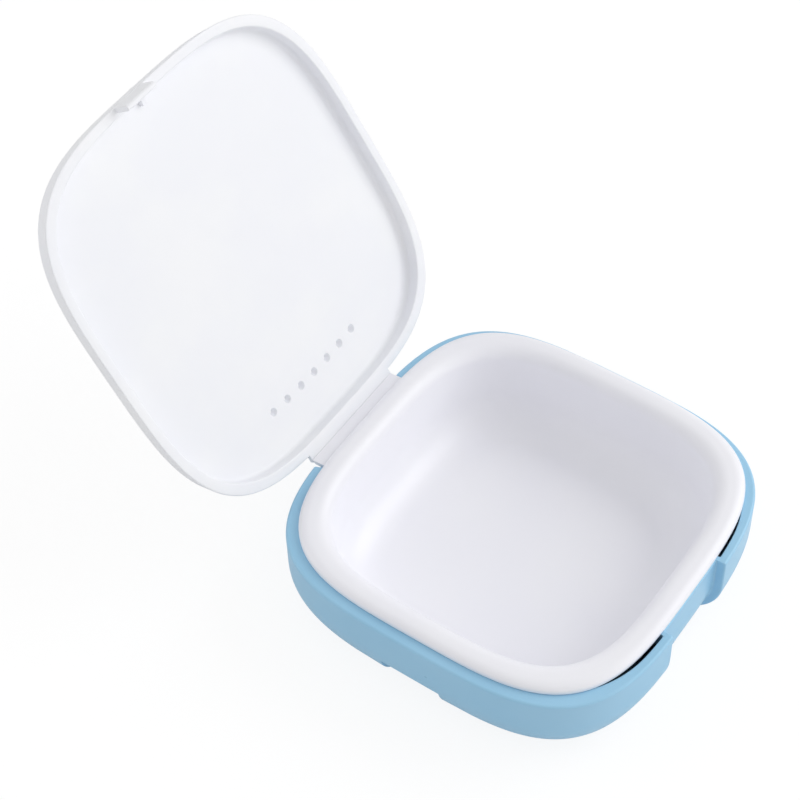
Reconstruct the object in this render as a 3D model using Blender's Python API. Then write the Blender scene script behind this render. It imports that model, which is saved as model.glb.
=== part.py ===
"""A retainer case: a shallow moulded base, and a tray that lifts out of it with its hinged lid.

The tray and the lid are joined at the back by a thin flexible strap, which folds along one line.
All lengths are in metres. +Z is up, the finger recess is at the front (-Y) and the hinge is at
the back (+Y). The origin is the middle of the underside. The lid is modelled closed, about its
fold line, and then swung open, because that is how the case stands at rest.
"""

import math

import bmesh
import bpy
from mathutils import Matrix, Vector

MM = 0.001

# Outline that the base, the tray and the lid share: a square with full, rounded corners
OUTLINE_POWER = 3.6
OUTLINE_POINTS = 64

# Base shell
BASE_SIDE = 90.0 * MM
BASE_HEIGHT = 21.5 * MM
BASE_WALL = 1.95 * MM
BASE_FLOOR = 1.6 * MM
BASE_EDGE_ROUND = 0.6 * MM
FOOT_REACH = 10.3 * MM
FOOT_RISE = 12.9 * MM
FOOT_STEPS = 6

# Finger recess at the front of the base, and the shallow grips on its two sides
RECESS_HALF_WIDTH = 11.2 * MM
RECESS_DEPTH = 2.3 * MM
RECESS_BACK_WALL = 1.5 * MM
RECESS_BACK_DROP = 0.1 * MM
RECESS_END_ANGLE = math.radians(30.0)
RECESS_FULL_ANGLE = math.radians(74.0)
GRIP_HALF_WIDTH = 7.4 * MM
GRIP_DEPTH = 0.9 * MM
GRIP_END_ANGLE = math.radians(14.0)
GRIP_TOP_ANGLE = math.radians(76.0)
RECESS_STEPS = 4

# Tray
TRAY_GAP = 0.4 * MM
TRAY_SEAT_GAP = 0.3 * MM
TRAY_WALL = 1.5 * MM
TRAY_RIM_WIDTH = 6.25 * MM
TRAY_CROWN_ABOVE_BASE = 2.2 * MM
TRAY_LIP_ABOVE_BASE = 0.3 * MM
TRAY_LIP_HEIGHT = 0.4 * MM
TRAY_ROUND_OUTSIDE = 2.2 * MM
TRAY_ROUND_INSIDE = 3.2 * MM
TRAY_LEAN = 0.8 * MM
TRAY_BOWL_RADIUS = 9.0 * MM
TRAY_STEPS = 4

# Lid, measured in its closed place
LID_GAP = 0.3 * MM
LID_OVERHANG = 0.35 * MM
LID_LEAN = 0.6 * MM
LID_RIM_WIDTH = 2.35 * MM
LID_RECESS = 3.5 * MM
LID_PANEL = 1.5 * MM
LID_TOP_ROUND = 1.5 * MM
LID_CORNER_ROUND = 1.0 * MM
LID_RIM_CHAMFER = 0.15 * MM
LID_STEPS = 3

# Vents near the hinge side of the lid
VENT_COUNT = 7
VENT_RADIUS = 0.9 * MM
VENT_PITCH = 4.96 * MM
VENT_ROW = 33.2 * MM
VENT_BOW = 0.6 * MM
VENT_SIDES = 12

# Clasp tab on the lid's front edge, with one stiffening rib on its inner face
CLASP_LEFT = 9.1 * MM
CLASP_RIGHT = 0.2 * MM
CLASP_DROP = 4.3 * MM
CLASP_THICKNESS = 1.3 * MM
CLASP_INSET = 0.1 * MM
RIB_THICKNESS = 1.2 * MM
RIB_INSET = 0.1 * MM
RIB_GAP = 0.4 * MM

# Hinge: a leaf on the lid and a strap on the tray, which meet along one fold line
HINGE_BEHIND_BASE = 1.0 * MM
HINGE_BELOW_LID = 0.25 * MM
HINGE_OPEN_ANGLE = math.radians(123.5)
HINGE_GAP = 0.3 * MM
LEAF_HALF_WIDTH = 15.4 * MM
LEAF_FLARE = 1.0 * MM
LEAF_FLARE_LENGTH = 1.0 * MM
LEAF_REACH = 1.0 * MM
LEAF_THICKNESS = 1.1 * MM
STRAP_THICKNESS = 1.2 * MM
STRAP_FOLD_START = 0.8 * MM
STRAP_LEVEL_PAST_WALL = 0.2 * MM
STRAP_ROOT_INSET = 0.15 * MM
STRAP_ROOT_OUTSIDE = 0.45 * MM
STRAP_ROOT_RISE = 0.8 * MM
SLOT_SIDE_CLEARANCE = 0.9 * MM
SLOT_DEPTH = 2.9 * MM

# How far a cutter runs past what it cuts, and how deep an added shape is rooted in its wall
OVERRUN = 1.0 * MM
ROOT = 0.7 * MM

MERGE_DISTANCE = 0.0001 * MM
SMOOTH_ANGLE = math.radians(35.0)

# Sizes that follow from the ones above
BASE_HALF = BASE_SIDE / 2
TRAY_HALF = BASE_HALF - BASE_WALL - TRAY_GAP
TRAY_BOTTOM = BASE_FLOOR + TRAY_SEAT_GAP
LID_HALF = BASE_HALF + LID_OVERHANG
LID_INNER_HALF = LID_HALF - LID_RIM_WIDTH
LID_PLANE = BASE_HEIGHT + LID_GAP
LID_HEIGHT = LID_RECESS + LID_PANEL
HINGE = Vector((0, BASE_HALF + HINGE_BEHIND_BASE, LID_PLANE - HINGE_BELOW_LID))
SLOT_HALF_WIDTH = LEAF_HALF_WIDTH + SLOT_SIDE_CLEARANCE

FRONT = -math.pi / 2
RIGHT = 0.0
LEFT = math.pi


def clear_scene():
    for item in list(bpy.data.objects):
        bpy.data.objects.remove(item, do_unlink=True)


def new_collection(name):
    collection = bpy.data.collections.new(name)
    bpy.context.scene.collection.children.link(collection)
    return collection


def plastic(name, colour, roughness):
    material = bpy.data.materials.new(name)
    material.use_nodes = True
    shader = material.node_tree.nodes["Principled BSDF"]
    shader.inputs["Base Color"].default_value = (*colour, 1.0)
    shader.inputs["Roughness"].default_value = roughness
    return material


def on_outline(vert, half, height):
    """Moves a vertex out along its own direction to the outline of this half width."""
    angle = math.atan2(vert.co.y, vert.co.x)
    x, y = math.cos(angle), math.sin(angle)
    total = abs(x) ** OUTLINE_POWER + abs(y) ** OUTLINE_POWER
    reach = half / total ** (1 / OUTLINE_POWER)
    vert.co = (reach * x, reach * y, height)


def outline_shell(profile):
    """A closed body with the shared outline at every level. The profile is a list of half
    widths and heights, from the edge of one end face to the edge of the other."""
    mesh = bmesh.new()
    half, height = profile[0]
    bmesh.ops.create_circle(mesh, cap_ends=True, radius=half, segments=OUTLINE_POINTS)
    for vert in mesh.verts:
        on_outline(vert, half, height)
    edges = list(mesh.edges)
    for half, height in profile[1:]:
        grown = bmesh.ops.extrude_edge_only(mesh, edges=edges)["geom"]
        for item in grown:
            if isinstance(item, bmesh.types.BMVert):
                on_outline(item, half, height)
        edges = [item for item in grown if isinstance(item, bmesh.types.BMEdge)
                 and len(item.link_faces) == 1]
    bmesh.ops.contextual_create(mesh, geom=edges)
    bmesh.ops.recalc_face_normals(mesh, faces=mesh.faces)
    return finished_mesh(mesh)


def finished_mesh(source):
    mesh = bpy.data.meshes.new("shape")
    source.to_mesh(mesh)
    source.free()
    return mesh


def block(low, high):
    """A box between two corners."""
    low, high = Vector(low), Vector(high)
    mesh = bmesh.new()
    bmesh.ops.create_cube(mesh, size=1.0)
    bmesh.ops.scale(mesh, vec=high - low, verts=mesh.verts)
    bmesh.ops.translate(mesh, vec=(low + high) / 2, verts=mesh.verts)
    return finished_mesh(mesh)


def rod(radius, length, sides, middle):
    """An upright cylinder about its middle."""
    mesh = bmesh.new()
    bmesh.ops.create_cone(mesh, cap_ends=True, segments=sides, radius1=radius,
                          radius2=radius, depth=length)
    bmesh.ops.translate(mesh, vec=middle, verts=mesh.verts)
    return finished_mesh(mesh)


def plate(outline, half_thickness, turn, middle=(0, 0, 0)):
    """A flat outline with a thickness, from a filled curve, turned into its place."""
    curve = bpy.data.curves.new("outline", "CURVE")
    curve.dimensions = "2D"
    curve.fill_mode = "BOTH"
    curve.extrude = half_thickness
    spline = curve.splines.new("POLY")
    spline.points.add(len(outline) - 1)
    for point, (across, up) in zip(spline.points, outline):
        point.co = (across, up, 0, 1)
    spline.use_cyclic_u = True
    holder = bpy.data.objects.new("outline", curve)
    bpy.context.scene.collection.objects.link(holder)
    seen = holder.evaluated_get(bpy.context.evaluated_depsgraph_get())
    mesh = bpy.data.meshes.new_from_object(seen)
    bpy.data.objects.remove(holder, do_unlink=True)
    welded = bmesh.new()
    welded.from_mesh(mesh)
    bpy.data.meshes.remove(mesh)
    bmesh.ops.remove_doubles(welded, verts=welded.verts, dist=MERGE_DISTANCE)
    bmesh.ops.transform(welded, matrix=turn, verts=welded.verts)
    bmesh.ops.translate(welded, vec=middle, verts=welded.verts)
    bmesh.ops.recalc_face_normals(welded, faces=welded.faces)
    return finished_mesh(welded)


def side_on(direction):
    """Turns an outline drawn as reach and height so that its reach points along a direction
    in the ground plane and its thickness lies level."""
    return Matrix.Rotation(direction, 4, "Z") @ Matrix.Rotation(math.pi / 2, 4, "X")


BACKWARDS = side_on(math.pi / 2)
FLAT = Matrix.Identity(4)


class Part:
    """One named piece of the case, with the shapes that are added to it and cut from it."""

    def __init__(self, name, mesh, material, parts, tools, origin=(0, 0, 0)):
        self.tools = tools
        self.origin = Vector(origin)
        mesh.transform(Matrix.Translation(-self.origin))
        mesh.materials.append(material)
        self.object = bpy.data.objects.new(name, mesh)
        self.object.location = self.origin
        parts.objects.link(self.object)

    def boolean(self, name, operation, mesh):
        mesh.transform(Matrix.Translation(-self.origin))
        tool = bpy.data.objects.new(name, mesh)
        tool.hide_render = True
        tool.display_type = "WIRE"
        tool.parent = self.object
        self.tools.objects.link(tool)
        modifier = self.object.modifiers.new(name, "BOOLEAN")
        modifier.operation = operation
        modifier.solver = "EXACT"
        modifier.object = tool

    def add(self, name, mesh):
        self.boolean(name, "UNION", mesh)

    def cut(self, name, mesh):
        self.boolean(name, "DIFFERENCE", mesh)

    def shade(self):
        mesh = self.object.data
        mesh.shade_smooth()
        mesh.set_sharp_from_angle(angle=SMOOTH_ANGLE)


def foot_point(angle, share):
    """A point of the base's rounded foot: share 0 is its outer face and share 1 its inner."""
    reach = FOOT_REACH - BASE_WALL * share
    rise = FOOT_RISE - BASE_FLOOR * share
    half = BASE_HALF - FOOT_REACH + reach * math.sin(angle)
    return half, BASE_FLOOR * share + rise * (1 - math.cos(angle))


def quarter(steps):
    return [math.pi / 2 * step / steps for step in range(steps + 1)]


def base_profile():
    inner = BASE_HALF - BASE_WALL
    outside = [foot_point(angle, 0) for angle in quarter(FOOT_STEPS)]
    top = [(BASE_HALF - BASE_EDGE_ROUND * (1 - math.cos(angle)),
            BASE_HEIGHT - BASE_EDGE_ROUND * (1 - math.sin(angle)))
           for angle in quarter(2)]
    inside = [foot_point(angle, 1) for angle in reversed(quarter(FOOT_STEPS))]
    return outside + top + [(inner, BASE_HEIGHT)] + inside


def hollow_line(depth, end_angle, full_angle, offset):
    """The back of a hollow in the base's outside: it leaves the foot's surface at one angle
    and is at its whole depth from another, offset further in for the wall behind it."""
    points = []
    for step in range(RECESS_STEPS + 1):
        share = step / RECESS_STEPS
        angle = end_angle + (full_angle - end_angle) * share
        half, height = foot_point(angle, 0)
        points.append((half - depth * math.sin(math.pi / 2 * share) - offset, height))
    return points


def recess_cutter():
    line = hollow_line(RECESS_DEPTH, RECESS_END_ANGLE, RECESS_FULL_ANGLE, 0)
    outside = BASE_HALF + OVERRUN
    top = BASE_HEIGHT + OVERRUN
    outline = line + [(BASE_HALF - RECESS_DEPTH, FOOT_RISE), (BASE_HALF - RECESS_DEPTH, top),
                      (outside, top), (outside, line[0][1])]
    return plate(outline, RECESS_HALF_WIDTH, side_on(FRONT))


def recess_backing():
    """The wall that steps in behind the finger recess, rooted in the middle of the shell."""
    line = hollow_line(RECESS_DEPTH, RECESS_END_ANGLE, RECESS_FULL_ANGLE, RECESS_BACK_WALL)
    inner = BASE_HALF - RECESS_DEPTH - RECESS_BACK_WALL
    rooted = [foot_point(RECESS_END_ANGLE + (math.pi / 2 - RECESS_END_ANGLE) * step / FOOT_STEPS,
                         0.5) for step in range(FOOT_STEPS + 1)]
    root_half = rooted[-1][0]
    top = BASE_HEIGHT - RECESS_BACK_DROP
    outline = line + [(inner, FOOT_RISE), (inner, top), (root_half, top)]
    outline += reversed(rooted)
    return plate(outline, RECESS_HALF_WIDTH + RECESS_BACK_WALL, side_on(FRONT))


def grip_cutter(direction):
    points = []
    for step in range(RECESS_STEPS + 1):
        share = step / RECESS_STEPS
        angle = GRIP_TOP_ANGLE + (GRIP_END_ANGLE - GRIP_TOP_ANGLE) * share
        half, height = foot_point(angle, 0)
        depth = GRIP_DEPTH * (1 - share)
        points.append((half - depth * math.sin(angle), height + depth * math.cos(angle)))
    top, end = points[0], points[-1]
    outside = BASE_HALF + OVERRUN
    outline = points + [(end[0], -OVERRUN), (outside, -OVERRUN), (outside, top[1])]
    return plate(outline, GRIP_HALF_WIDTH, side_on(direction))


def make_base(parts, tools, material):
    base = Part("base_shell", outline_shell(base_profile()), material, parts, tools)
    base.add("recess_backing", recess_backing())
    base.cut("finger_recess", recess_cutter())
    base.cut("grip_right", grip_cutter(RIGHT))
    base.cut("grip_left", grip_cutter(LEFT))
    base.cut("hinge_slot", block((-SLOT_HALF_WIDTH, BASE_HALF - BASE_WALL - OVERRUN,
                                  BASE_HEIGHT - SLOT_DEPTH),
                                 (SLOT_HALF_WIDTH, BASE_HALF + OVERRUN, BASE_HEIGHT + OVERRUN)))
    base.shade()


def tray_round_point(angle):
    """A point of the round on the outside of the tray's rim."""
    low = BASE_HEIGHT + TRAY_LIP_ABOVE_BASE + TRAY_LIP_HEIGHT
    rise = BASE_HEIGHT + TRAY_CROWN_ABOVE_BASE - low
    return TRAY_HALF - TRAY_ROUND_OUTSIDE * (1 - math.cos(angle)), low + rise * math.sin(angle)


def tray_profile():
    lip = BASE_HEIGHT + TRAY_LIP_ABOVE_BASE
    crown = BASE_HEIGHT + TRAY_CROWN_ABOVE_BASE
    opening = TRAY_HALF - TRAY_RIM_WIDTH
    bowl = opening - TRAY_LEAN
    floor_edge = bowl - TRAY_BOWL_RADIUS
    inside_floor = TRAY_BOTTOM + TRAY_WALL
    wall_top = crown - TRAY_ROUND_INSIDE
    under = crown - TRAY_WALL
    steps = quarter(TRAY_STEPS)
    bowl_outside = [(floor_edge + (TRAY_BOWL_RADIUS + TRAY_WALL) * math.sin(angle),
                     TRAY_BOTTOM + (TRAY_BOWL_RADIUS + TRAY_WALL) * (1 - math.cos(angle)))
                    for angle in steps]
    neck = [(opening + TRAY_WALL, wall_top),
            (opening + TRAY_ROUND_INSIDE, under),
            (TRAY_HALF - TRAY_WALL, under),
            (TRAY_HALF - TRAY_WALL, lip)]
    outer_round = [tray_round_point(angle) for angle in steps]
    inner_round = [(opening + TRAY_ROUND_INSIDE * (1 - math.sin(angle)),
                    wall_top + TRAY_ROUND_INSIDE * math.cos(angle))
                   for angle in steps]
    bowl_inside = [(floor_edge + TRAY_BOWL_RADIUS * math.sin(angle),
                    inside_floor + TRAY_BOWL_RADIUS * (1 - math.cos(angle)))
                   for angle in reversed(steps)]
    return bowl_outside + neck + [(TRAY_HALF, lip)] + outer_round + inner_round + bowl_inside


def hinge_strap():
    """The strap from the tray's rim to the fold line. Its end face lies along the open leaf."""
    open_leaf = Vector((math.cos(HINGE_OPEN_ANGLE), -math.sin(HINGE_OPEN_ANGLE)))
    facing = Vector((open_leaf.y, -open_leaf.x))
    face = Vector((HINGE.y, HINGE.z)) + facing * (HINGE_GAP - HINGE_BELOW_LID)
    end_top = face + open_leaf * STRAP_FOLD_START
    end_low = end_top + open_leaf * STRAP_THICKNESS
    top = LID_PLANE - HINGE_GAP
    low = top - STRAP_THICKNESS
    level_end = BASE_HALF - BASE_WALL + STRAP_LEVEL_PAST_WALL
    root_in = TRAY_HALF - TRAY_WALL + STRAP_ROOT_INSET
    root_out = TRAY_HALF - STRAP_ROOT_OUTSIDE
    outline = [(root_in, top + STRAP_ROOT_RISE), (root_out, top + STRAP_ROOT_RISE),
               (root_out, top), (level_end, top), end_top, end_low, (level_end, low),
               (root_in, low)]
    return plate(outline, LEAF_HALF_WIDTH, BACKWARDS)


def make_tray(parts, tools, material):
    tray = Part("inner_tray", outline_shell(tray_profile()), material, parts, tools)
    tray.add("hinge_strap", hinge_strap())
    tray.shade()


def lid_profile():
    top = LID_PLANE + LID_HEIGHT
    ceiling = LID_PLANE + LID_RECESS
    outer = [(LID_HALF - LID_LEAN - LID_TOP_ROUND * (1 - math.sin(angle)),
              top - LID_TOP_ROUND * (1 - math.cos(angle)))
             for angle in quarter(LID_STEPS)]
    rim = [(LID_HALF, LID_PLANE + LID_RIM_CHAMFER),
           (LID_HALF - LID_RIM_CHAMFER, LID_PLANE),
           (LID_INNER_HALF + LID_RIM_CHAMFER, LID_PLANE),
           (LID_INNER_HALF, LID_PLANE + LID_RIM_CHAMFER)]
    inner = [(LID_INNER_HALF - LID_CORNER_ROUND * (1 - math.cos(angle)),
              ceiling - LID_CORNER_ROUND * (1 - math.sin(angle)))
             for angle in quarter(LID_STEPS)]
    return outer + rim + inner


def hinge_leaf():
    """The flat leaf at the back of the lid, flush with its rim and flared where it meets it."""
    root = LID_INNER_HALF + ROOT
    flare_end = LID_HALF + LEAF_FLARE_LENGTH - LEAF_FLARE
    end = HINGE.y + LEAF_REACH
    flared = LEAF_HALF_WIDTH + LEAF_FLARE
    outline = [(-LEAF_HALF_WIDTH, root), (LEAF_HALF_WIDTH, root), (flared, LID_HALF - LEAF_FLARE),
               (LEAF_HALF_WIDTH, flare_end), (LEAF_HALF_WIDTH, end), (-LEAF_HALF_WIDTH, end),
               (-LEAF_HALF_WIDTH, flare_end), (-flared, LID_HALF - LEAF_FLARE)]
    return plate(outline, LEAF_THICKNESS / 2, FLAT, (0, 0, LID_PLANE + LEAF_THICKNESS / 2))


def clasp_rib():
    """A thin rib that runs from the clasp tab up the lid's front wall, clear of the tray."""
    face = -(LID_HALF - CLASP_INSET - CLASP_THICKNESS)
    low = LID_PLANE - CLASP_DROP / 2
    top = LID_PLANE + LID_RECESS + ROOT
    edge = []
    for angle in quarter(TRAY_STEPS)[1:]:
        half, height = tray_round_point(angle)
        edge.append((-half - RIB_GAP * math.cos(angle), height + RIB_GAP * math.sin(angle)))
    outline = [(face - ROOT, low), (face, low)] + edge + [(edge[-1][0], top),
                                                          (face - ROOT, top)]
    middle = CLASP_RIGHT - RIB_INSET - RIB_THICKNESS / 2
    return plate(outline, RIB_THICKNESS / 2, BACKWARDS, (middle, 0, 0))


def make_lid(parts, tools, material):
    lid = Part("lid", outline_shell(lid_profile()), material, parts, tools, HINGE)
    lid.add("hinge_leaf", hinge_leaf())
    front = -(LID_HALF - CLASP_INSET)
    lid.add("clasp_tab", block((-CLASP_LEFT, front, LID_PLANE - CLASP_DROP),
                               (CLASP_RIGHT, front + CLASP_THICKNESS, LID_PLANE + ROOT)))
    lid.add("clasp_rib", clasp_rib())
    last = (VENT_COUNT - 1) / 2
    for index in range(VENT_COUNT):
        place = index - last
        middle = (place * VENT_PITCH, VENT_ROW - VENT_BOW * (place / last) ** 2,
                  LID_PLANE + LID_HEIGHT)
        lid.cut("vent_%d" % (index + 1),
                rod(VENT_RADIUS, 2 * (LID_PANEL + OVERRUN), VENT_SIDES, middle))
    lid.shade()
    lid.object.rotation_euler.x = -HINGE_OPEN_ANGLE


def main():
    clear_scene()
    parts = new_collection("retainer_case")
    tools = new_collection("cutters")
    make_base(parts, tools, plastic("base_blue", (0.27, 0.52, 0.75), 0.38))
    make_tray(parts, tools, plastic("tray_white", (0.86, 0.86, 0.90), 0.25))
    make_lid(parts, tools, plastic("lid_white", (0.88, 0.89, 0.92), 0.35))
    tools.hide_render = True


main()
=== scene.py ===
"""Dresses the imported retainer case: a blue base, a white lift-out tray and a white vented lid.

Lengths are in metres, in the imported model's frame: +Z is up, the finger recess is at the front
(-Y) and the hinge is at the back (+Y). The lid is built closed and then swung open about the line
where the strap between it and the tray folds.
"""

import logging
import math
from collections.abc import Sequence
from dataclasses import dataclass, field, replace
from enum import Enum

import bmesh
import bpy
from mathutils import Matrix, Vector


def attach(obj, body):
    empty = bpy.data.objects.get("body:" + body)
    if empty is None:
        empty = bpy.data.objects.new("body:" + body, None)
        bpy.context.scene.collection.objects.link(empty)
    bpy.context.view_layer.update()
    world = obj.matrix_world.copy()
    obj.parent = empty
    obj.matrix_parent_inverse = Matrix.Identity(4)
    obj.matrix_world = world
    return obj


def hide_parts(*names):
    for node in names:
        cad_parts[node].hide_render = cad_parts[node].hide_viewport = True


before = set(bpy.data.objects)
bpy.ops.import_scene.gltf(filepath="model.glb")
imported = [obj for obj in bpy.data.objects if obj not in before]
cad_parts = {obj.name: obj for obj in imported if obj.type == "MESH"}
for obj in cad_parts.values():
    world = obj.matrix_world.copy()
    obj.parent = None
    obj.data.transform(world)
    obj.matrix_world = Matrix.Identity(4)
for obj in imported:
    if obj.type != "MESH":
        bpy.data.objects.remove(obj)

LOG = logging.getLogger("retainer_case")
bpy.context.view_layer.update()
MM = 0.001
QUARTER = math.pi / 2
RING_POINTS = 288
SAME_PLACE = 0.001 * MM
SHARP_FROM = math.radians(38.0)

Profile = list[tuple[float, float]]
Colour = tuple[float, ...]
Sockets = dict[str | int, "Wire | Sequence[float] | float"]


def clamped(share: float) -> float:
    """A share, held between 0 and 1."""
    return min(1.0, max(0.0, share))


def quarter(steps: int) -> list[float]:
    """Angles from 0 to a right angle.

    Args:
        steps: How many equal steps to take.

    Returns:
        The angles in radians, both ends included.
    """
    return [QUARTER * step / steps for step in range(steps + 1)]


class Side(Enum):
    """The four sides of the case, numbered in the order an outline runs round it."""

    FRONT = 0
    RIGHT = 1
    BACK = 2
    LEFT = 3

    @property
    def facing(self) -> float:
        """The direction that this side faces, as an angle in the ground plane."""
        return -QUARTER + QUARTER * self.value


@dataclass(frozen=True)
class CaseSizes:
    """The sizes that the base, the tray and the lid share.

    outline_power sets how square the outline is. half and height are the base's. foot_reach and
    foot_rise are the width and height of the foot's round. hinge_behind and hinge_below_lid place
    the fold line from the back wall and from the closed lid's rim.
    """

    outline_power: float = 3.6
    half: float = 45.0 * MM
    height: float = 21.5 * MM
    wall: float = 1.95 * MM
    floor: float = 1.6 * MM
    foot_reach: float = 10.3 * MM
    foot_rise: float = 12.9 * MM
    lid_gap: float = 0.3 * MM
    hinge_behind: float = 1.0 * MM
    hinge_below_lid: float = 0.25 * MM
    open_angle: float = math.radians(123.5)

    @property
    def lid_plane(self) -> float:
        """The height of the closed lid's rim."""
        return self.height + self.lid_gap

    @property
    def hinge(self) -> Vector:
        """A point on the hinge axis."""
        return Vector((0, self.half + self.hinge_behind, self.lid_plane - self.hinge_below_lid))

    def reach(self, angle: float, half: float) -> Vector:
        """A point of the rounded-square outline.

        Args:
            angle: The direction from the middle, in the ground plane.
            half: The outline's half width.

        Returns:
            The point, at height 0.
        """
        x, y = math.cos(angle), math.sin(angle)
        total = abs(x) ** self.outline_power + abs(y) ** self.outline_power
        return Vector((x, y, 0)) * (half / total ** (1 / self.outline_power))

    def side_depth(self, across: float, half: float) -> float:
        """How far out the outline is at a place along one side.

        Args:
            across: The distance along the side from its middle.
            half: The outline's half width.

        Returns:
            The distance from the middle of the case to the outline there.
        """
        share = 1 - abs(across / half) ** self.outline_power
        return half * share ** (1 / self.outline_power)

    def foot_point(self, angle: float, inward: float) -> tuple[float, float]:
        """A point of the rounded foot that the wall turns into.

        Args:
            angle: 0 at the underside and a right angle at the wall.
            inward: 0 on the outer face and 1 on the inner face.

        Returns:
            The half width and the height there.
        """
        reach = self.foot_reach - self.wall * inward
        rise = self.foot_rise - self.floor * inward
        half = self.half - self.foot_reach + reach * math.sin(angle)
        return half, self.floor * inward + rise * (1 - math.cos(angle))


CASE = CaseSizes()


class Moulding:
    """A mesh in the making, drawn ring by ring from one circle of points."""

    def __init__(self, first: Sequence[Vector]) -> None:
        """Starts from a filled ring.

        Args:
            first: The points of the first ring, in order.
        """
        self.mesh = bmesh.new()
        made = bmesh.ops.create_circle(self.mesh, cap_ends=True, radius=1.0, segments=len(first))
        self.loop: list[bmesh.types.BMVert] = made["verts"]
        for vert, point in zip(self.loop, first):
            vert.co = point

    def _open_end(self) -> list[bmesh.types.BMEdge]:
        """The edges round the end that is still open."""
        return [edge for edge in self.mesh.edges if len(edge.link_faces) == 1]

    def draw_to(self, ring: Sequence[Vector]) -> None:
        """Extrudes the open end to a new ring of as many points."""
        grown = bmesh.ops.extrude_edge_only(self.mesh, edges=self._open_end())["geom"]
        fresh = {item for item in grown if isinstance(item, bmesh.types.BMVert)}
        self.loop = [next(edge.other_vert(vert) for edge in vert.link_edges
                          if edge.other_vert(vert) in fresh) for vert in self.loop]
        for vert, point in zip(self.loop, ring):
            vert.co = point

    def close(self) -> None:
        """Fills the open end, and turns every face outwards."""
        bmesh.ops.contextual_create(self.mesh, geom=self._open_end())
        bmesh.ops.recalc_face_normals(self.mesh, faces=self.mesh.faces)


def placed(name: str, mesh: bmesh.types.BMesh) -> bpy.types.Object:
    """Makes a mesh an object at the origin, linked to the scene, and frees the mesh."""
    data = bpy.data.meshes.new(name)
    mesh.to_mesh(data)
    mesh.free()
    piece = bpy.data.objects.new(name, data)
    bpy.context.scene.collection.objects.link(piece)
    return piece


def moulded(name: str, rings: Sequence[Sequence[Vector]]) -> bpy.types.Object:
    """A closed body drawn through a row of rings.

    Args:
        name: The object's name.
        rings: The rings, all with as many points, from one end face to the other.

    Returns:
        The object.
    """
    moulding = Moulding(rings[0])
    for ring in rings[1:]:
        moulding.draw_to(ring)
    moulding.close()
    return placed(name, moulding.mesh)


def turned(name: str, profile: Profile) -> bpy.types.Object:
    """A closed body with the case's outline at every level.

    Args:
        name: The object's name.
        profile: Half widths and heights, from one end face's edge to the other's.

    Returns:
        The object.
    """
    angles = [2 * math.pi * index / RING_POINTS for index in range(RING_POINTS)]
    return moulded(name, [[CASE.reach(angle, half) + Vector((0, 0, height)) for angle in angles]
                          for half, height in profile])


class Lie(Enum):
    """Which axis a slab's thickness runs along."""

    ACROSS = 0
    LEVEL = 2


def slab(name: str, outline: Profile, low: float, high: float, edge: float = 0.0,
         lie: Lie = Lie.ACROSS) -> bpy.types.Object:
    """An outline with a thickness and with rounded end edges.

    Args:
        name: The object's name.
        outline: The points, as Y and Z, or as X and Y where it lies level.
        low: Where it starts along its thickness.
        high: Where it ends.
        edge: The radius of the round on the edges of both ends.
        lie: Which axis the thickness runs along.

    Returns:
        The object.
    """
    mesh = bmesh.new()
    made = bmesh.ops.create_circle(mesh, cap_ends=True, radius=1.0, segments=len(outline))
    for vert, (first, second) in zip(made["verts"], outline):
        vert.co = (low, first, second) if lie is Lie.ACROSS else (first, second, low)
    grown = bmesh.ops.extrude_face_region(mesh, geom=mesh.faces[:], use_keep_orig=True)["geom"]
    moved = [item for item in grown if isinstance(item, bmesh.types.BMVert)]
    shift = Vector((0, 0, 0))
    shift[lie.value] = high - low
    bmesh.ops.translate(mesh, vec=shift, verts=moved)
    bmesh.ops.recalc_face_normals(mesh, faces=mesh.faces)
    if edge:
        ends = [item for item in mesh.edges
                if abs(item.verts[0].co[lie.value] - item.verts[1].co[lie.value]) < SAME_PLACE]
        bmesh.ops.bevel(mesh, geom=ends, offset=edge, segments=3, profile=0.5, affect="EDGES",
                        material=-1, clamp_overlap=True)
    return placed(name, mesh)


class Joinery(Enum):
    """How one shape is worked into another."""

    ADD = "UNION"
    CUT = "DIFFERENCE"


def work(piece: bpy.types.Object, tool: bpy.types.Object, how: Joinery) -> None:
    """Adds a shape to a piece, or cuts it away, and removes the shape.

    Args:
        piece: The object that is kept.
        tool: The shape, which is used up.
        how: Whether it is added or cut.
    """
    modifier = piece.modifiers.new(tool.name, "BOOLEAN")
    modifier.operation = how.value
    modifier.solver = "EXACT"
    modifier.object = tool
    settle(piece)
    bpy.data.objects.remove(tool, do_unlink=True)


def settle(piece: bpy.types.Object) -> None:
    """Applies a piece's modifiers to its mesh."""
    seen = piece.evaluated_get(bpy.context.evaluated_depsgraph_get())
    data = bpy.data.meshes.new_from_object(seen)
    piece.modifiers.clear()
    piece.data = data


def smooth(piece: bpy.types.Object) -> None:
    """Shades a piece smoothly, apart from its sharp edges."""
    piece.data.shade_smooth()
    piece.data.set_sharp_from_angle(angle=SHARP_FROM)
    weighted = piece.modifiers.new("weighted", "WEIGHTED_NORMAL")
    weighted.keep_sharp = True
    settle(piece)


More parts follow.
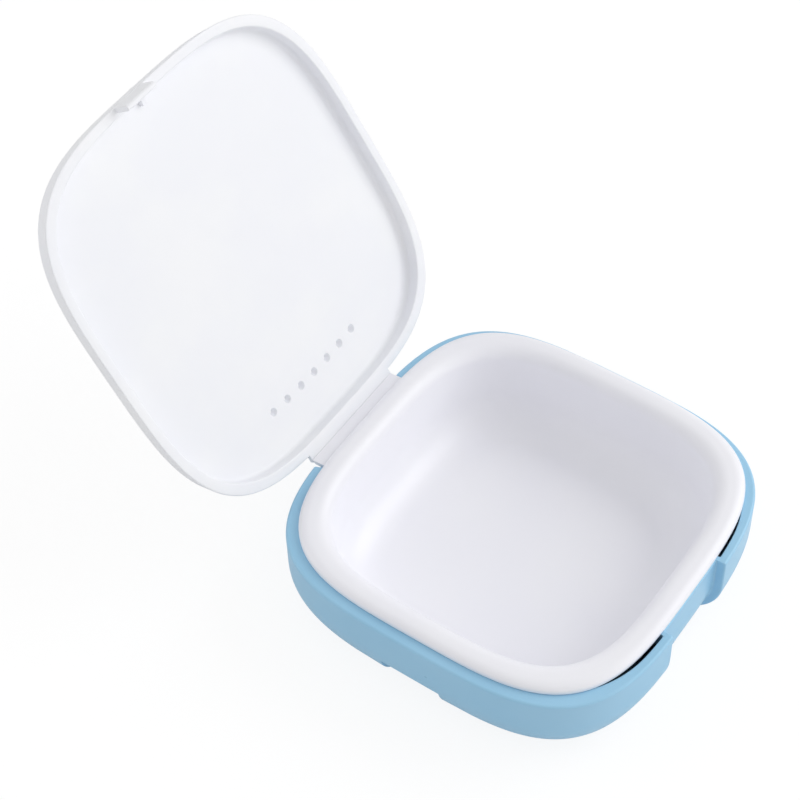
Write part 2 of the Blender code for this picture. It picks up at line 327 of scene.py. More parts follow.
@dataclass
class Wire:
    """A node's output. Those that hold a number can be added, subtracted and multiplied."""

    bench: "Bench"
    socket: bpy.types.NodeSocket

    def _math(self, operation: str, *values: "Wire | float") -> "Wire":
        """Adds a Math node that works on some values."""
        return self.bench.out(
            self.bench.node("ShaderNodeMath", {"operation": operation}, dict(enumerate(values))))

    def __add__(self, other: "Wire | float") -> "Wire":
        """The sum of two values."""
        return self._math("ADD", self, other)

    def __radd__(self, other: float) -> "Wire":
        """The sum of a number and this value."""
        return self._math("ADD", other, self)

    def __sub__(self, other: "Wire | float") -> "Wire":
        """The difference of two values."""
        return self._math("SUBTRACT", self, other)

    def __rsub__(self, other: float) -> "Wire":
        """A number less this value."""
        return self._math("SUBTRACT", other, self)

    def __mul__(self, other: "Wire | float") -> "Wire":
        """The product of two values."""
        return self._math("MULTIPLY", self, other)

    def __rmul__(self, other: float) -> "Wire":
        """The product of a number and this value."""
        return self._math("MULTIPLY", other, self)

    def band(self, low: float, high: float) -> "Wire":
        """0 below one value, 1 above the other and a smooth ramp between them."""
        return self.bench.out(self.bench.node(
            "ShaderNodeMapRange", {"interpolation_type": "SMOOTHSTEP"},
            {"Value": self, "From Min": low, "From Max": high}), "Result")


class Bench:
    """A node tree at work, with the patterns that the plastics draw on."""

    MIX_PLAIN = 6
    MIX_MARKED = 7
    MIX_RESULT = 2

    def __init__(self, tree: bpy.types.NodeTree) -> None:
        """Takes up a tree."""
        self.tree = tree

    def node(self, kind: str, settings: dict[str, str] | None = None,
             sockets: Sockets | None = None) -> bpy.types.Node:
        """Adds a node.

        Args:
            kind: The node's type.
            settings: Its own settings, which are set first.
            sockets: What goes into its inputs, by name or by place.

        Returns:
            The node.
        """
        made = self.tree.nodes.new(kind)
        for name, value in (settings or {}).items():
            setattr(made, name, value)
        self.into(made, sockets or {})
        return made

    def into(self, node: bpy.types.Node, sockets: Sockets) -> None:
        """Fills a node's inputs: a wire is joined, and any other value is written."""
        for name, value in sockets.items():
            if isinstance(value, Wire):
                self.tree.links.new(value.socket, node.inputs[name])
            else:
                node.inputs[name].default_value = value

    def out(self, node: bpy.types.Node, name: str | int = 0) -> Wire:
        """One of a node's outputs."""
        return Wire(self, node.outputs[name])

    def finish(self, output: str, share: Wire, plain: Wire, other: Wire) -> None:
        """Joins a mix of two shaders to the tree's output.

        Args:
            output: The output node's name.
            share: 0 for the plain shader and 1 for the other.
            plain: The plain shader.
            other: The other shader.
        """
        mix = self.node("ShaderNodeMixShader", sockets={0: share, 1: plain, 2: other})
        self.into(self.tree.nodes[output], {"Surface": self.out(mix)})

    def noise(self, per_metre: float, detail: float = 2.0,
              stretch: tuple[float, ...] = (1.0, 1.0, 1.0), turn: float = 0.0) -> Wire:
        """A cloudy pattern on Object coordinates.

        Args:
            per_metre: How many clouds go to a metre.
            detail: How many finer layers it has.
            stretch: How much each axis is squeezed.
            turn: How far the pattern is turned about the vertical, in radians.

        Returns:
            The pattern, around 0.5.
        """
        place = self.node("ShaderNodeMapping", sockets={
            "Vector": self.out(self.node("ShaderNodeTexCoord"), "Object"),
            "Rotation": (0.0, 0.0, turn), "Scale": stretch})
        return self.out(self.node("ShaderNodeTexNoise", sockets={
            "Vector": self.out(place), "Scale": per_metre, "Detail": detail}), "Fac")

    def tint(self, share: Wire, plain: Wire | Colour, marked: Colour) -> Wire:
        """A colour between two, by a share.

        Args:
            share: 0 for the plain colour and 1 for the marked one.
            plain: The plain colour.
            marked: The other colour.

        Returns:
            The colour.
        """
        return self.out(self.node("ShaderNodeMix", {"data_type": "RGBA"}, {
            "Factor": share, self.MIX_PLAIN: plain, self.MIX_MARKED: marked}), self.MIX_RESULT)

    def relief(self, height: Wire, depth: float) -> Wire:
        """The surface's direction under a bump pattern of a depth in metres."""
        return self.out(self.node("ShaderNodeBump", sockets={
            "Height": height, "Distance": depth, "Strength": 1.0}), "Normal")


def linear(red: int, green: int, blue: int) -> Colour:
    """Turns a display colour into the linear one, with its alpha, that shaders take."""
    shares = [value / 255 for value in (red, green, blue)]
    return (*(share / 12.92 if share <= 0.04045 else ((share + 0.055) / 1.055) ** 2.4
              for share in shares), 1.0)


@dataclass(frozen=True)
class MouldedPlastic:
    """A moulded plastic with slight clouding, fine grain and hairline scuffs.

    The patterns' sizes are counts to a metre. translucency is the share of light that enters the
    plastic, and light_reach is how far it spreads there.
    """

    name: str
    colour: Colour
    clouded: Colour
    scuffed: Colour
    roughness: float
    roughness_spread: float
    grain_depth: float
    scuff_share: float
    translucency: float = 0.0
    light_reach: float = 2.0 * MM
    refraction: float = 1.49
    clouds: float = 42.0
    cloud_band: tuple[float, float] = (0.35, 0.7)
    smears: float = 95.0
    fine_grain: float = 5200.0
    fine_share: float = 0.7
    coarse_grain: float = 900.0
    coarse_share: float = 0.3
    scuff_dip: float = 0.1
    scuff_patches: float = 34.0
    patch_band: tuple[float, float] = (0.5, 0.66)

    def material(self) -> bpy.types.Material:
        """Builds the material.

        Returns:
            The material, with its patterns on Object coordinates.
        """
        material = bpy.data.materials.new(self.name)
        material.use_nodes = True
        bench = Bench(material.node_tree)
        cloud = bench.noise(self.clouds, 3.0).band(*self.cloud_band)
        clouded = bench.tint(cloud, self.colour, self.clouded)
        scuffs = self._scuffs(bench)
        smear = bench.noise(self.smears, 3.0)
        grain = (self.fine_share * bench.noise(self.fine_grain)
                 + self.coarse_share * bench.noise(self.coarse_grain, 1.0)
                 - self.scuff_dip * scuffs)
        bench.into(bench.tree.nodes["Principled BSDF"], {
            "Base Color": bench.tint(scuffs, clouded, self.scuffed),
            "Roughness": self.roughness + self.roughness_spread * (smear - 0.5),
            "Normal": bench.relief(grain, self.grain_depth),
            "Subsurface Weight": self.translucency,
            "Subsurface Radius": (1.0, 1.0, 1.0),
            "Subsurface Scale": self.light_reach,
            "IOR": self.refraction,
        })
        return material

    def _scuffs(self, bench: Bench) -> Wire:
        """Hairlines in two directions, broken up by patches.

        Args:
            bench: The node tree to draw in.

        Returns:
            0 where the surface is clean and scuff_share where it is scuffed.
        """
        along = bench.noise(520.0, 1.0, stretch=(1.0, 0.04, 1.0), turn=0.6).band(0.7, 0.76)
        across = bench.noise(610.0, 1.0, stretch=(0.05, 1.0, 1.0), turn=-0.3).band(0.71, 0.77)
        patches = bench.noise(self.scuff_patches).band(*self.patch_band)
        return (along + across) * patches * self.scuff_share


BLUE = MouldedPlastic(
    "base_blue", linear(156, 206, 236), linear(161, 209, 238), linear(172, 214, 240),
    roughness=0.3, roughness_spread=0.12, grain_depth=0.003 * MM, scuff_share=0.15)
TRAY_WHITE = MouldedPlastic(
    "tray_white", linear(247, 247, 253), linear(249, 249, 254), linear(240, 240, 248),
    roughness=0.34, roughness_spread=0.1, grain_depth=0.002 * MM, scuff_share=0.1)
LID_WHITE = MouldedPlastic(
    "lid_white", linear(243, 244, 250), linear(246, 247, 251), linear(238, 239, 245),
    roughness=0.36, roughness_spread=0.1, grain_depth=0.003 * MM, scuff_share=0.1,
    translucency=0.35)


@dataclass(frozen=True)
class Station:
    """One upright line of points on the base's wall.

    held says that its place along the side is the same at every level. hollow is its share of
    the depth of the side's hollow, and drop its share of the hinge slot's depth. corner is its
    direction from the middle of the case, where it stands on a corner.
    """

    side: Side
    across: float
    held: bool = False
    hollow: float = 0.0
    drop: float = 0.0
    corner: float | None = None


@dataclass(frozen=True)
class Level:
    """One ring of the base: its half width, its height and how deep each side's hollow is.

    inner says that it lies on the inside of the wall. opened is how much further out it lies
    along the front, where the wall has no ledge.
    """

    half: float
    height: float
    hollows: dict[Side, float] = field(default_factory=dict)
    inner: bool = False
    opened: float = 0.0


@dataclass
class BaseShell:
    """The blue base, with its finger recess, side grips and the slot that the strap lies in.

    The recess and the grips start and end at angles of the foot's round, which is 0 at the
    underside. A hollow's side face covers the middle share of its depth, between its two rounds.
    The ledge under the tray's rim runs all round but for the front.
    """

    edge_round: float = 0.6 * MM
    edge_steps: int = 5
    inner_round: float = 0.25 * MM
    inner_steps: int = 3
    recess_half: float = 11.2 * MM
    recess_depth: float = 2.3 * MM
    recess_back_wall: float = 1.5 * MM
    recess_corner: float = 0.45 * MM
    recess_end: float = math.radians(30.0)
    recess_full: float = math.radians(74.0)
    round_share: float = 0.2
    round_steps: int = 4
    side_slant: float = 0.02 * MM
    grip_half: float = 7.4 * MM
    grip_corner: float = 0.25 * MM
    grip_depth: float = 0.9 * MM
    grip_end: float = math.radians(14.0)
    grip_top: float = math.radians(76.0)
    grip_top_rings: tuple[float, ...] = (0.0, 0.004, 0.012, 0.022)
    grip_steepness: float = 1.15
    slot_half: float = 16.3 * MM
    slot_floor: float = 18.6 * MM
    slot_from: float = 14.0 * MM
    slot_margin: float = 1.2 * MM
    mid_wall: float = 17.5 * MM
    below_edge: float = 0.4 * MM
    corner_from: float = 15.6 * MM
    corner_steps: int = 46
    foot_steps: int = 22
    inner_foot_steps: int = 12
    jog_fade: float = 0.25
    ledge_width: float = 1.4 * MM
    ledge_depth: float = 1.0 * MM
    ledge_end: float = math.radians(50.0)
    ledge_fade: float = math.radians(26.0)
    right_short: float = 0.9 * MM

    def build(self) -> bpy.types.Object:
        """Builds the shell.

        Returns:
            The piece, undressed.
        """
        stations = self._stations()
        shell = moulded("blue_base", [[self._point(station, level) for station in stations]
                                      for level in self._levels()])
        squeeze = Matrix.Scale(1 - self.right_short / (2 * CASE.half), 4, Vector((1, 0, 0)))
        shell.data.transform(Matrix.Translation((-self.right_short / 2, 0, 0)) @ squeeze)
        smooth(shell)
        return shell

    def dress(self, shell: bpy.types.Object) -> None:
        """Gives the base its plastic and fixes it to its body."""
        finish_piece(shell, BLUE.material(), "base")
        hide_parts("base_shell")

    def _ramp(self, side: Side, half: float, corner: float) -> list[Station]:
        """The stations of a hollow with rounded corners, from one end to the other.

        Args:
            side: The side that the hollow is in.
            half: Its half width.
            corner: The radius of the rounds at its mouth and at its back.

        Returns:
            The stations, in order along the side.
        """
        turns = quarter(self.round_steps)
        rounded = self.round_share
        mouth = [(half + corner * (1 - math.sin(turn)), rounded * (1 - math.cos(turn)))
                 for turn in turns]
        back = [(half - corner * (1 - math.cos(turn)) - self.side_slant,
                 1 - rounded + rounded * math.sin(turn)) for turn in turns]
        edge = mouth + back
        inside = [share * (half - corner) for share in (0.66, 0.33, 0.0, -0.33, -0.66)]
        start = [Station(side, -place, True, share) for place, share in edge]
        middle = [Station(side, -place, True, 1.0) for place in inside]
        end = [Station(side, place, True, share) for place, share in reversed(edge)]
        return start + middle + end

    def _slot(self) -> list[Station]:
        """The stations of the hinge slot in the back wall.

        Each end is given as places beside it, in millimetres, with their shares of the depth.
        """
        half = self.slot_half
        beside = [(0.4, 0.0), (0.2, 0.015), (0.07, 0.05), (0.0, 0.12), (-0.02, 0.88),
                  (-0.09, 0.95), (-0.22, 0.985), (-0.42, 1.0)]
        edge = [(half + place * MM, share) for place, share in beside]
        inside = [share * half for share in (0.75, 0.5, 0.25, 0.0, -0.25, -0.5, -0.75)]
        start = [Station(Side.BACK, -place, drop=share) for place, share in edge]
        middle = [Station(Side.BACK, -place, drop=1.0) for place in inside]
        end = [Station(Side.BACK, place, drop=share) for place, share in reversed(edge)]
        return start + middle + end

    def _stations(self) -> list[Station]:
        """All the stations round the base, counter-clockwise from the front's left end."""
        features = {
            Side.FRONT: self._ramp(Side.FRONT, self.recess_half, self.recess_corner),
            Side.RIGHT: self._ramp(Side.RIGHT, self.grip_half, self.grip_corner),
            Side.BACK: self._slot(),
            Side.LEFT: self._ramp(Side.LEFT, self.grip_half, self.grip_corner),
        }
        past_slot = self.slot_half + self.slot_margin
        stations = []
        for side in Side:
            stations += features[side]
            first = past_slot if side is Side.BACK else self.corner_from
            last = past_slot if side is Side.RIGHT else self.corner_from
            start = math.atan2(first, CASE.side_depth(first, CASE.half))
            end = QUARTER - math.atan2(last, CASE.side_depth(last, CASE.half))
            for step in range(self.corner_steps + 1):
                angle = side.facing + start + (end - start) * step / self.corner_steps
                stations.append(Station(side, 0.0, corner=angle))
        return stations

    def _point(self, station: Station, level: Level) -> Vector:
        """Where a station crosses a level.

        Args:
            station: The upright line of points.
            level: The ring.

        Returns:
            The point.
        """
        height = level.height
        if height > self.slot_from:
            span = CASE.height - self.slot_from
            deep = CASE.height - self.slot_floor
            height -= station.drop * (height - self.slot_from) * deep / span
        if station.corner is not None:
            from_front = abs(math.remainder(station.corner - Side.FRONT.facing, 2 * math.pi))
            share = clamped((self.ledge_end - from_front) / self.ledge_fade)
            half = level.half + level.opened * share * share * (3 - 2 * share)
            return CASE.reach(station.corner, half) + Vector((0, 0, height))
        if station.side is Side.FRONT and level.opened:
            level = replace(level, half=level.half + level.opened)
        scale = level.half / CASE.half
        across = station.across if station.held and not level.inner else station.across * scale
        if station.held and level.inner and station.side is Side.FRONT:
            across *= 1 + self.recess_back_wall / self.recess_half
        out = CASE.side_depth(across, level.half)
        out -= station.hollow * level.hollows.get(station.side, 0.0)
        facing = station.side.facing
        ahead = Vector((math.cos(facing), math.sin(facing), 0))
        along = Vector((-ahead.y, ahead.x, 0))
        return ahead * out + along * across + Vector((0, 0, height))

    def _outer_hollows(self, angle: float) -> dict[Side, float]:
        """How deep the recess and the grips are at an angle of the foot."""
        share = clamped((angle - self.recess_end) / (self.recess_full - self.recess_end))
        recess = self.recess_depth * math.sin(QUARTER * share)
        grip = 0.0
        if angle <= self.grip_top:
            share = (angle - self.grip_end) / (self.grip_top - self.grip_end)
            grip = self.grip_depth * clamped(share * self.grip_steepness)
        return {Side.FRONT: recess, Side.LEFT: grip, Side.RIGHT: grip}

    def _levels(self) -> list[Level]:
        """The rings of the base, from the edge of its underside to the middle of its inside."""
        lip = {Side.FRONT: self.recess_depth}
        grip_top = [self.grip_top + past for past in self.grip_top_rings]
        levels = []
        for angle in sorted(set(quarter(self.foot_steps) + grip_top)):
            half, height = CASE.foot_point(angle, 0)
            levels.append(Level(half, height, self._outer_hollows(angle)))
        wall_top = CASE.height - self.edge_round
        levels += [Level(CASE.half, height, lip)
                   for height in (self.slot_from, self.mid_wall, wall_top - self.below_edge)]
        for turn in quarter(self.edge_steps):
            half = CASE.half - self.edge_round * (1 - math.cos(turn))
            levels.append(Level(half, wall_top + self.edge_round * math.sin(turn), lip))
        inner = CASE.half - CASE.wall
        jog = {Side.FRONT: self.recess_depth + self.recess_back_wall - CASE.wall}
        ledge = inner - self.ledge_width
        for turn in reversed(quarter(self.inner_steps)):
            half = ledge + self.inner_round * (1 - math.cos(turn))
            height = CASE.height - self.inner_round * (1 - math.sin(turn))
            levels.append(Level(half, height, jog, True, self.ledge_width))
        levels.append(Level(ledge, CASE.height - self.ledge_depth, jog, True, self.ledge_width))
        levels.append(Level(inner, CASE.height - self.ledge_depth - self.ledge_width, jog, True))
        levels.append(Level(inner, self.slot_from, jog, True))
        for angle in reversed(quarter(self.inner_foot_steps)):
            half, height = CASE.foot_point(angle, 1)
            depth = max(0.0, jog[Side.FRONT] - (inner - half) * self.jog_fade)
            levels.append(Level(half, height, {Side.FRONT: depth * math.sin(angle)}, True))
        return levels


@dataclass
class LiftOutTray:
    """The white tray: a deep bowl with a broad, rolled rim, and the strap behind it.

    seat is how far it lies off the middle of the base. crown_above and lip_above are heights above
    the base's rim.
    """

    seat: Vector = field(default_factory=lambda: Vector((0.25, 0.1, 0)) * MM)
    gap: float = 0.4 * MM
    seat_gap: float = 0.3 * MM
    wall: float = 1.5 * MM
    rim_width: float = 6.25 * MM
    crown_above: float = 2.2 * MM
    lip_above: float = 0.06 * MM
    lip_height: float = 0.64 * MM
    lip_round: float = 0.25 * MM
    lip_corner: float = 0.07 * MM
    round_outside: float = 2.2 * MM
    round_inside: float = 3.2 * MM
    lean: float = 0.8 * MM
    bowl_radius: float = 9.0 * MM
    steps: int = 14
    strap_half: float = 15.4 * MM
    strap_thickness: float = 1.2 * MM
    strap_edge: float = 0.15 * MM
    strap_gap: float = 0.05 * MM
    strap_fold_start: float = 0.3 * MM
    strap_level_past_wall: float = 0.2 * MM
    strap_root: float = 0.9 * MM
    root_from_outside: float = 0.45 * MM
    root_from_inside: float = 0.15 * MM

    def build(self) -> bpy.types.Object:
        """Builds the tray.

        Returns:
            The piece, undressed.
        """
        tray = turned("white_tray", self._profile())
        tray.data.transform(Matrix.Translation(self.seat))
        strap = slab("strap", self._strap(), -self.strap_half, self.strap_half, self.strap_edge)
        work(tray, strap, Joinery.ADD)
        smooth(tray)
        return tray

    def _strap(self) -> Profile:
        """The strap from the side: level behind the rim, then down along the open lid's leaf."""
        leaf = Vector((math.cos(CASE.open_angle), -math.sin(CASE.open_angle)))
        facing = Vector((leaf.y, -leaf.x))
        hinge = Vector((CASE.hinge.y, CASE.hinge.z))
        face = hinge + facing * (self.strap_gap - CASE.hinge_below_lid)
        end = face + leaf * self.strap_fold_start
        below = end + leaf * self.strap_thickness
        top = CASE.lid_plane - CASE.lid_gap
        low = top - self.strap_thickness
        level_end = CASE.half - CASE.wall + self.strap_level_past_wall
        rim = CASE.half - CASE.wall - self.gap
        inside = rim - self.wall + self.root_from_inside
        outside = rim - self.root_from_outside
        return [(inside, top + self.strap_root), (outside, top + self.strap_root),
                (outside, top), (level_end, top), tuple(end), tuple(below),
                (level_end, low), (inside, low)]

    def dress(self, tray: bpy.types.Object) -> None:
        """Gives the tray its gloss plastic and fixes it to its body."""
        finish_piece(tray, TRAY_WHITE.material(), "tray")
        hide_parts("inner_tray")

    def _profile(self) -> Profile:
        """Half widths and heights, from the outside of the bottom round to the inside."""
        half = CASE.half - CASE.wall - self.gap
        bottom = CASE.floor + self.seat_gap
        lip = CASE.height + self.lip_above
        crown = CASE.height + self.crown_above
        opening = half - self.rim_width
        edge = opening - self.lean - self.bowl_radius
        floor = bottom + self.wall
        wall_top = crown - self.round_inside
        under = crown - self.wall
        rise = crown - lip - self.lip_height
        turns = quarter(self.steps)
        thick = self.bowl_radius + self.wall
        outside = [(edge + thick * math.sin(turn), bottom + thick * (1 - math.cos(turn)))
                   for turn in turns]
        neck = [(opening + self.wall, wall_top), (opening + self.round_inside, under),
                (half - self.wall, under), (half - self.wall, lip)]
        lips = [(half - self.lip_round, lip), (half - self.lip_corner, lip + self.lip_corner),
                (half, lip + self.lip_round)]
        outer = [(half - self.round_outside * (1 - math.cos(turn)),
                  lip + self.lip_height + rise * math.sin(turn)) for turn in turns]
        inner = [(opening + self.round_inside * (1 - math.sin(turn)),
                  wall_top + self.round_inside * math.cos(turn)) for turn in turns]
        bowl = [(edge + self.bowl_radius * math.sin(turn),
                 floor + self.bowl_radius * (1 - math.cos(turn))) for turn in reversed(turns)]
        return outside + neck + lips + outer + inner + bowl


@dataclass
class HingedLid:
    """The white lid: a shallow cap with vents, a clasp tab and the flat leaf of the hinge.

    Each vent narrows by vent_taper from the ceiling to the top. vent_past is how far its cutter
    goes past both faces, as a share of the panel. lean is how much narrower the top is than the
    rim, and root is how deep an added shape is set into the lid.
    """

    overhang: float = 0.35 * MM
    rim_width: float = 2.35 * MM
    recess: float = 3.5 * MM
    panel: float = 1.5 * MM
    lean: float = 0.6 * MM
    top_round: float = 1.5 * MM
    corner_round: float = 1.0 * MM
    round_steps: int = 8
    rim_round: float = 0.3 * MM
    rim_steps: int = 3
    vent_count: int = 7
    vent_radius: float = 1.0 * MM
    vent_taper: float = 0.6 * MM
    vent_past: float = 0.2
    vent_points: int = 32
    vent_pitch: float = 4.96 * MM
    vent_row: float = 33.2 * MM
    vent_bow: float = 0.6 * MM
    clasp_left: float = 9.1 * MM
    clasp_right: float = 0.2 * MM
    clasp_drop: float = 4.3 * MM
    clasp_thickness: float = 1.3 * MM
    clasp_inset: float = 0.1 * MM
    clasp_bevel: float = 0.3 * MM
    clasp_edge: float = 0.2 * MM
    rib_thickness: float = 1.2 * MM
    rib_inset: float = 0.1 * MM
    rib_gap: float = 0.4 * MM
    leaf_half: float = 15.4 * MM
    leaf_flare: float = 1.0 * MM
    leaf_steps: int = 6
    leaf_reach: float = 1.0 * MM
    leaf_thickness: float = 1.1 * MM
    leaf_edge: float = 0.12 * MM
    root: float = 0.7 * MM

    def build(self) -> bpy.types.Object:
        """Builds the lid closed, then swings it open about the fold line.

        The vents are cut first, because cuts made after the joins tore the panel's outside.

        Returns:
            The piece, undressed.
        """
        lid = turned("white_lid", self._profile())
        for index in range(self.vent_count):
            work(lid, self._vent(index), Joinery.CUT)
        for added in (self._leaf(), self._tab(), self._rib()):
            work(lid, added, Joinery.ADD)
        hinge = CASE.hinge
        swing = (Matrix.Translation(hinge) @ Matrix.Rotation(-CASE.open_angle, 4, "X")
                 @ Matrix.Translation(-hinge))
        lid.data.transform(swing)
        smooth(lid)
        return lid

    def dress(self, lid: bpy.types.Object) -> None:
        """Gives the lid its satin plastic and fixes it to its body."""
        finish_piece(lid, LID_WHITE.material(), "lid")
        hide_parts("lid")

    def _profile(self) -> Profile:
        """Half widths and heights, from the top face's edge to the ceiling's edge."""
        half = CASE.half + self.overhang
        inner = half - self.rim_width
        low = CASE.lid_plane
        top = low + self.recess + self.panel
        ceiling = low + self.recess
        turns, rim_turns = quarter(self.round_steps), quarter(self.rim_steps)
        outside = [(half - self.lean - self.top_round * (1 - math.sin(turn)),
                    top - self.top_round * (1 - math.cos(turn))) for turn in turns]
        edge = [(half - self.rim_round * (1 - math.cos(turn)),
                 low + self.rim_round * (1 - math.sin(turn))) for turn in rim_turns]
        lip = [(inner + self.rim_round * (1 - math.sin(turn)),
                low + self.rim_round * (1 - math.cos(turn))) for turn in rim_turns]
        inside = [(inner - self.corner_round * (1 - math.cos(turn)),
                   ceiling - self.corner_round * (1 - math.sin(turn))) for turn in turns]
        return outside + edge + lip + inside

    def _leaf(self) -> bpy.types.Object:
        """The flat leaf behind the lid, flared in a curve where it meets the lid's wall."""
        half = CASE.half + self.overhang
        root = half - self.rim_width + self.root
        end = CASE.hinge.y + self.leaf_reach
        side = [(self.leaf_half + self.leaf_flare * (1 - math.sin(turn)),
                 half - self.leaf_flare * math.cos(turn)) for turn in quarter(self.leaf_steps)]
        right = [(self.leaf_half, root), *side, (self.leaf_half, end)]
        left = [(-across, along) for across, along in reversed(right)]
        low = CASE.lid_plane
        return slab("leaf", right + left, low, low + self.leaf_thickness, self.leaf_edge, Lie.LEVEL)

    def _tab(self) -> bpy.types.Object:
        """The clasp tab on the front edge, with rounded edges all round."""
        front = -(CASE.half + self.overhang - self.clasp_inset)
        low, high = CASE.lid_plane - self.clasp_drop, CASE.lid_plane + self.root
        face = front + self.clasp_thickness
        bevel = self.clasp_bevel
        outline = [(front, high), (front, low + bevel), (front + bevel, low), (face - bevel, low),
                   (face, low + bevel), (face, high)]
        return slab("clasp_tab", outline, -self.clasp_left, self.clasp_right, self.clasp_edge)

    def _rib(self) -> bpy.types.Object:
        """The thin rib inside the tab, which runs up the front wall and follows the tray's rim.

        Its free edge keeps rib_gap from the rim's round, from above the rim's lip to its crown.
        """
        tray = LiftOutTray()
        rim = CASE.half - CASE.wall - tray.gap
        low = CASE.height + tray.lip_above + tray.lip_height
        rise = CASE.height + tray.crown_above - low
        edge = []
        for turn in quarter(self.round_steps)[2:]:
            half = rim - tray.round_outside * (1 - math.cos(turn)) + self.rib_gap * math.cos(turn)
            edge.append((-half, low + (rise + self.rib_gap) * math.sin(turn)))
        face = -(CASE.half + self.overhang - self.clasp_inset - self.clasp_thickness)
        foot = CASE.lid_plane - self.clasp_drop / 2
        top = CASE.lid_plane + self.recess + self.root
        outline = [(face - self.root, foot), (face, foot), *edge, (edge[-1][0], top),
                   (face - self.root, top)]
        end = self.clasp_right - self.rib_inset
        return slab("clasp_rib", outline, end - self.rib_thickness, end)

    def _vent(self, index: int) -> bpy.types.Object:
        """The shape that cuts one vent through the panel.

        Args:
            index: Which vent, from the left.

        Returns:
            The cutting shape.
        """
        last = (self.vent_count - 1) / 2
        place = index - last
        across = place * self.vent_pitch
        along = self.vent_row - self.vent_bow * (place / last) ** 2
        angles = [2 * math.pi * step / self.vent_points for step in range(self.vent_points)]
        rings = []
        for depth in (-self.vent_past, 1 + self.vent_past):
            radius = self.vent_radius - self.vent_taper * depth
            height = CASE.lid_plane + self.recess + self.panel * depth
            rings.append([Vector((across + radius * math.cos(angle),
                                  along + radius * math.sin(angle), height)) for angle in angles])
        return moulded("vent", rings)


def finish_piece(piece: bpy.types.Object, material: bpy.types.Material, body: str) -> None:
    """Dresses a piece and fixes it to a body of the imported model.

    Args:
        piece: The object.
        material: Its material.
        body: The body that it moves with.
    """
    piece.data.materials.clear()
    piece.data.materials.append(material)
    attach(piece, body)
    LOG.info("%s rides on %s", piece.name, body)


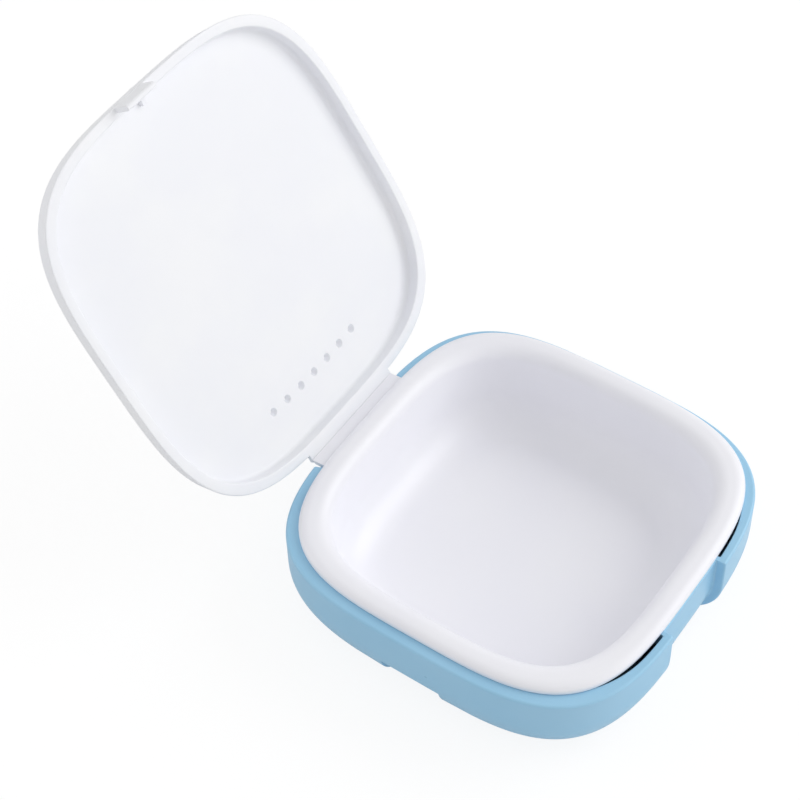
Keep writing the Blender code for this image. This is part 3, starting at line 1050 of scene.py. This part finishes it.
@dataclass
class Studio:
    """A plain pale floor, three soft lamps, a white surround and the photograph's camera.

    floor_glow is how bright the floor's own white is, and glow_share is how much of it the camera
    sees. The rest shows the shadow.
    """

    image_width: float = 800.0
    focal_pixels: float = 2175.54
    sensor: float = 36.0
    azimuth: float = math.radians(-53.91)
    elevation: float = math.radians(50.51)
    roll: float = math.radians(-1.971)
    eye: Vector = field(default_factory=lambda: Vector((-246.487, -147.269, 406.163)) * MM)
    floor_half: float = 3.0
    floor_glow: float = 1.07
    glow_share: float = 0.8
    world_strength: float = 0.6
    lamp_distance: float = 0.9

    def build(self) -> None:
        """Builds the camera, the world, the floor and the lamps."""
        self._camera()
        self._world()
        self._floor()
        right, up, back = self._axes()
        self._lamp("key", right * 0.75 + up * 0.55 + back * 0.35, size=0.6, power=2.9)
        self._lamp("front", Vector((0.2, -1, 0.35)), size=0.6, power=0.7)
        self._lamp("back", Vector((-0.5, 1, 0.5)), size=0.5, power=1.0)

    def _axes(self) -> tuple[Vector, Vector, Vector]:
        """The directions to the right, up and back out of the picture."""
        back = Vector((math.sin(self.azimuth) * math.cos(self.elevation),
                       -math.cos(self.azimuth) * math.cos(self.elevation),
                       math.sin(self.elevation)))
        level = (-back).cross(Vector((0, 0, 1))).normalized()
        above = level.cross(-back)
        right = level * math.cos(self.roll) + above * math.sin(self.roll)
        up = above * math.cos(self.roll) - level * math.sin(self.roll)
        return right, up, back

    def _camera(self) -> None:
        """Stands the camera where the photograph was taken."""
        data = bpy.data.cameras.new("camera")
        data.sensor_width = self.sensor
        data.lens = self.focal_pixels / self.image_width * self.sensor
        data.clip_end = 20.0
        camera = bpy.data.objects.new("camera", data)
        right, up, back = self._axes()
        turn = Matrix((right, up, back)).transposed().to_4x4()
        camera.matrix_world = Matrix.Translation(self.eye) @ turn
        bpy.context.scene.collection.objects.link(camera)
        bpy.context.scene.camera = camera

    def _world(self) -> None:
        """An even white surround, which the camera and reflections see as plain white."""
        scene = bpy.context.scene
        scene.view_settings.view_transform = "Standard"
        world = bpy.data.worlds.new("surround")
        scene.world = world
        world.use_nodes = True
        bench = Bench(world.node_tree)
        lit = bench.tree.nodes["Background"]
        white = (1.0, 1.0, 1.0, 1.0)
        bench.into(lit, {"Color": white, "Strength": self.world_strength})
        seen = bench.node("ShaderNodeBackground", sockets={"Color": white, "Strength": 1.0})
        path = bench.node("ShaderNodeLightPath")
        shown = bench.out(path, "Is Camera Ray") + bench.out(path, "Is Glossy Ray")
        bench.finish("World Output", shown, bench.out(lit), bench.out(seen))

    def _floor(self) -> None:
        """A pale floor that keeps a faint shadow."""
        mesh = bmesh.new()
        bmesh.ops.create_grid(mesh, x_segments=2, y_segments=2, size=self.floor_half)
        floor = placed("floor", mesh)
        material = bpy.data.materials.new("floor_paper")
        material.use_nodes = True
        bench = Bench(material.node_tree)
        paper = bench.tree.nodes["Principled BSDF"]
        bench.into(paper, {"Base Color": (0.9, 0.9, 0.9, 1.0), "Roughness": 0.9,
                           "Specular IOR Level": 0.1})
        glow = bench.node("ShaderNodeEmission", sockets={"Strength": self.floor_glow})
        seen = bench.out(bench.node("ShaderNodeLightPath"), "Is Camera Ray") * self.glow_share
        bench.finish("Material Output", seen, bench.out(paper), bench.out(glow))
        floor.data.materials.append(material)

    def _lamp(self, name: str, towards: Vector, size: float, power: float) -> None:
        """A square soft lamp that faces the case.

        Args:
            name: The lamp's name.
            towards: The direction of the lamp from the case.
            size: The length of its side.
            power: Its power in watts.
        """
        data = bpy.data.lights.new(name, "AREA")
        data.shape = "SQUARE"
        data.size = size
        data.energy = power
        lamp = bpy.data.objects.new(name, data)
        place = towards.normalized() * self.lamp_distance
        facing = place.to_track_quat("Z", "Y").to_matrix().to_4x4()
        lamp.matrix_world = Matrix.Translation(place) @ facing
        bpy.context.scene.collection.objects.link(lamp)


def main() -> None:
    """Builds the studio and then each sub-assembly of the case."""
    logging.basicConfig(level=logging.INFO, format="%(message)s")
    Studio().build()
    base = BaseShell()
    base.dress(base.build())
    tray = LiftOutTray()
    tray.dress(tray.build())
    lid = HingedLid()
    lid.dress(lid.build())


if __name__ == "__main__":
    main()
